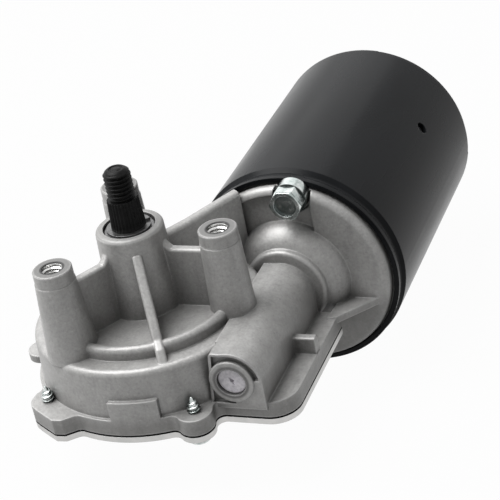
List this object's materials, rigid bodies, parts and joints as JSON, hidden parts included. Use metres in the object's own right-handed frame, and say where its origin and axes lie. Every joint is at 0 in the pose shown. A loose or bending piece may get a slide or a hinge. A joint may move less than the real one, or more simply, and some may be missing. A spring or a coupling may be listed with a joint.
{
  "type": "wiper motor",
  "caption": "Geared electric motor for a windscreen wiper: black steel drum motor bolted to a ribbed die-cast worm gearbox with threaded posts and an upright knurled, threaded output shaft.",
  "frame": {"origin": "on the output shaft's axis, in the plane of the tops of the three mounting posts", "axes": "+Z along the output shaft, out through its threaded end; +Y along the motor, from the gearbox to the drum's closed end; +X from the output shaft to the armature's side"},
  "size_m": [0.1081, 0.1644, 0.0858],
  "materials": {
    "cast_aluminium": "satin as-cast",
    "pressed_cover": "satin",
    "gasket": "matt",
    "zinc_plated_steel": "satin zinc plate",
    "dark_shaft_steel": "dark oxide",
    "acetal_white": "satin",
    "copper_brass": "satin",
    "bush_bronze": "matt sintered",
    "seal_rubber": "matt",
    "spring_steel": "satin",
    "black_drum": "satin black",
    "ferrite": "matt",
    "bright_steel": "ground",
    "core_iron": "matt",
    "enamelled_copper": "gloss enamel",
    "moulded_black": "matt",
    "phenolic_brown": "matt",
    "carbon": "matt",
    "plug_plastic": "satin",
    "tinned_brass": "satin"
  },
  "bodies": {
    "gearbox_and_drum": {"gear_housing": "cast_aluminium", "gear_cover": "pressed_cover", "cover_gasket": "gasket", "cover_screws": "zinc_plated_steel", "output_shaft_bushes": "bush_bronze", "shaft_seal_ring": "seal_rubber", "shaft_washer": "spring_steel", "wheel_thrust_washer": "spring_steel", "motor_can": "black_drum", "magnets": "ferrite", "brush_plate": "phenolic_brown", "brush_boxes": "tinned_brass", "carbon_brushes": "carbon", "brush_springs": "spring_steel", "suppression_chokes": "enamelled_copper", "hub_bush": "bush_bronze", "nose_bush": "bush_bronze", "rear_bush": "bush_bronze", "rear_bush_retainer": "spring_steel", "thrust_plug": "plug_plastic", "thrust_ball": "bright_steel", "tie_bolts": "zinc_plated_steel", "switch_plate": "moulded_black", "contact_fingers": "copper_brass", "terminal_socket": "moulded_black", "terminal_blades": "tinned_brass"},
    "armature": {"armature_shaft": "bright_steel", "lamination_core": "core_iron", "armature_winding": "enamelled_copper", "commutator_hub": "phenolic_brown", "commutator_bars": "copper_brass"},
    "output": {"output_shaft": "dark_shaft_steel", "worm_wheel": "acetal_white", "contact_ring": "copper_brass", "shaft_circlip": "spring_steel"}
  },
  "joints": [
    {"name": "armature_spin", "type": "hinge", "parent": "gearbox_and_drum", "child": "armature", "pos_m": [0.0334, 0, -0.0347], "axis": [0, 1, 0], "continuous": true},
    {"name": "output_turn", "type": "hinge", "parent": "gearbox_and_drum", "child": "output", "pos_m": [0, 0, 0], "axis": [0, 0, 1], "continuous": true}
  ],
  "couplings": [
    {"joint": "output_turn", "follows": "armature_spin", "ratio": -0.017857}
  ]
}
